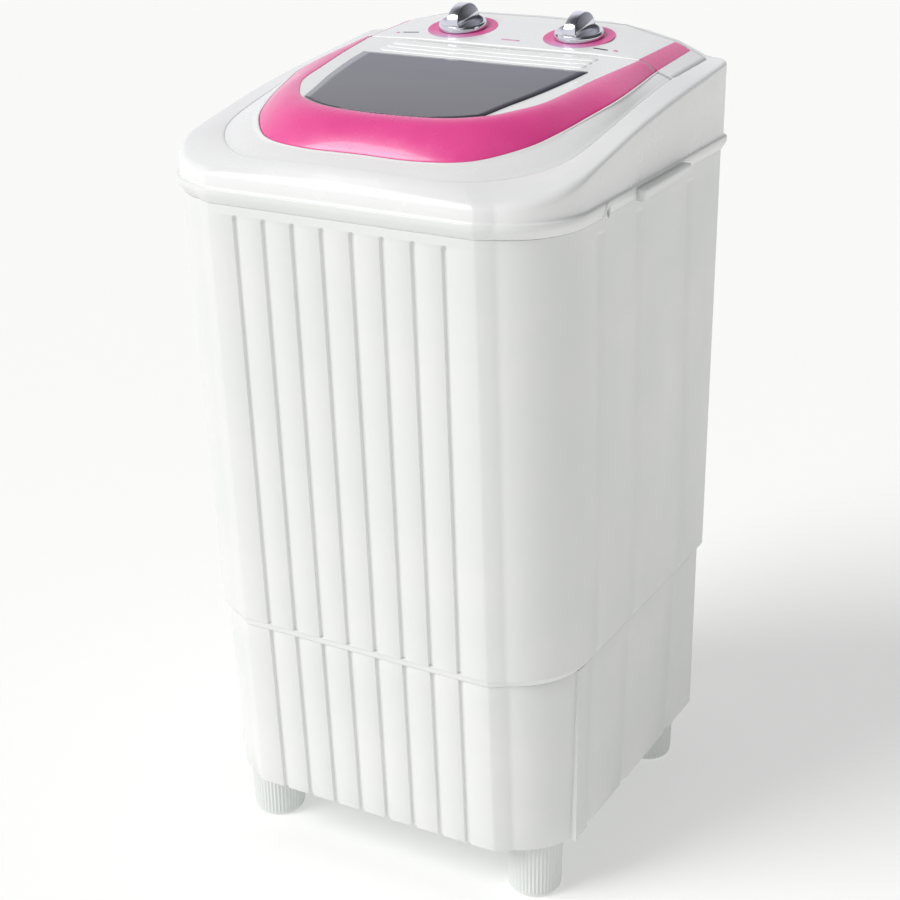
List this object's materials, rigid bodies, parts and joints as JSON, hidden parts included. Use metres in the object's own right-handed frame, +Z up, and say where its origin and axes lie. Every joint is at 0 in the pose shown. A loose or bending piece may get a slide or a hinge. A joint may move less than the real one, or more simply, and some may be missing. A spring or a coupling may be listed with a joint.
{
  "type": "top load washing machine",
  "caption": "Portable single-tub washing machine with a sloping lid, smoked window, coloured trim and rotary controls over a belt-driven pulsator tub.",
  "frame": {"origin": "on the floor at the middle of the footprint", "axes": "+Z up, -Y is the front, +X is the user's right when facing the front"},
  "size_m": [0.448, 0.428, 0.8599],
  "materials": {
    "shell_white": "satin injection-moulded",
    "cover_white": "satin injection-moulded",
    "trim_pink": "glossy moulded",
    "window_smoke": "smoked clear moulding, polished",
    "knob_chrome": "bright plated",
    "dial_foil": "printed foil",
    "tub_plastic": "moulded",
    "pulsator_plastic": "moulded",
    "inner_plastic": "moulded",
    "black_plastic": "moulded",
    "shaft_steel": "ground",
    "bush_bronze": "sintered",
    "seal_rubber": "moulded",
    "belt_rubber": "moulded",
    "pulley_plastic": "glass-filled moulding",
    "housing_alloy": "die cast",
    "motor_paint": "enamelled",
    "chassis_zinc": "galvanised",
    "screw_zinc": "zinc plated",
    "capacitor_case": "moulded",
    "filter_mesh": "woven mesh",
    "foot_plastic": "moulded, fluted"
  },
  "bodies": {
    "housing": {"cabinet": "shell_white", "base_skirt": "shell_white", "base_plate": "inner_plastic", "rim_collar": "shell_white", "carry_grip_left": "shell_white", "carry_grip_right": "shell_white", "collar_screws": "screw_zinc", "panel_trim_left": "trim_pink", "panel_trim_right": "trim_pink", "top_cover": "cover_white", "timer_dial_ring": "dial_foil", "timer_case": "black_plastic", "selector_dial_ring": "dial_foil", "selector_case": "black_plastic", "wash_tub": "tub_plastic", "filter_channel": "tub_plastic", "shaft_seal": "seal_rubber", "bearing_housing": "housing_alloy", "lower_bearing": "bush_bronze", "upper_bearing": "bush_bronze", "drive_belt": "belt_rubber", "motor_housing": "motor_paint", "motor_mounts": "seal_rubber", "chassis_plate": "chassis_zinc", "capacitor": "capacitor_case", "capacitor_clip": "chassis_zinc", "drain_valve": "inner_plastic", "drain_pipe": "inner_plastic", "drain_spigot": "black_plastic", "water_inlet": "inner_plastic", "cord_gland": "black_plastic", "rear_cover": "shell_white", "rear_cover_screws": "screw_zinc", "foot_front_left": "foot_plastic", "foot_front_right": "foot_plastic", "foot_rear_left": "foot_plastic", "foot_rear_right": "foot_plastic"},
    "lid": {"lid_frame": "cover_white", "lid_trim": "trim_pink", "lid_window": "window_smoke", "hinge_pin_left": "shaft_steel", "hinge_pin_right": "shaft_steel"},
    "timer_control": {"timer_knob": "knob_chrome", "timer_shaft": "shaft_steel"},
    "selector_control": {"selector_knob": "knob_chrome", "selector_shaft": "shaft_steel"},
    "agitator": {"pulsator": "pulsator_plastic", "pulsator_screw": "screw_zinc", "drive_shaft": "shaft_steel", "driven_pulley": "pulley_plastic"},
    "motor_rotor": {"motor_shaft": "shaft_steel", "motor_pulley": "pulley_plastic"},
    "drain_stopper": {"drain_plug": "seal_rubber"},
    "lint_filter": {"lint_filter_frame": "inner_plastic", "lint_bag": "filter_mesh"}
  },
  "joints": [
    {"name": "lid_hinge", "type": "hinge", "parent": "housing", "child": "lid", "pos_m": [0, 0.107, 0.81201], "axis": [-1, 0, 0], "range_deg": [0, 95]},
    {"name": "timer_turn", "type": "hinge", "parent": "housing", "child": "timer_control", "pos_m": [-0.0673, 0.157, 0.82852], "axis": [0, -0.1439, 0.9896], "range_deg": [-330, 0]},
    {"name": "selector_turn", "type": "hinge", "parent": "housing", "child": "selector_control", "pos_m": [0.0673, 0.157, 0.82852], "axis": [0, -0.1439, 0.9896], "range_deg": [-90, 0]},
    {"name": "pulsator_spin", "type": "hinge", "parent": "housing", "child": "agitator", "pos_m": [0, -0.035, 0.33], "axis": [0, 0, 1], "continuous": true},
    {"name": "motor_spin", "type": "hinge", "parent": "housing", "child": "motor_rotor", "pos_m": [0.088, 0.118, 0.206], "axis": [0, 0, 1], "continuous": true},
    {"name": "drain_drop", "type": "slide", "parent": "housing", "child": "drain_stopper", "axis": [0, 0, -1], "range_m": [0, 0.016]},
    {"name": "filter_lift", "type": "slide", "parent": "housing", "child": "lint_filter", "axis": [0, 0, 1], "range_m": [0, 0.06]}
  ],
  "couplings": [
    {"joint": "motor_spin", "follows": "pulsator_spin", "ratio": 5.2},
    {"joint": "drain_drop", "follows": "selector_turn", "m_per_rad": -0.010186}
  ]
}
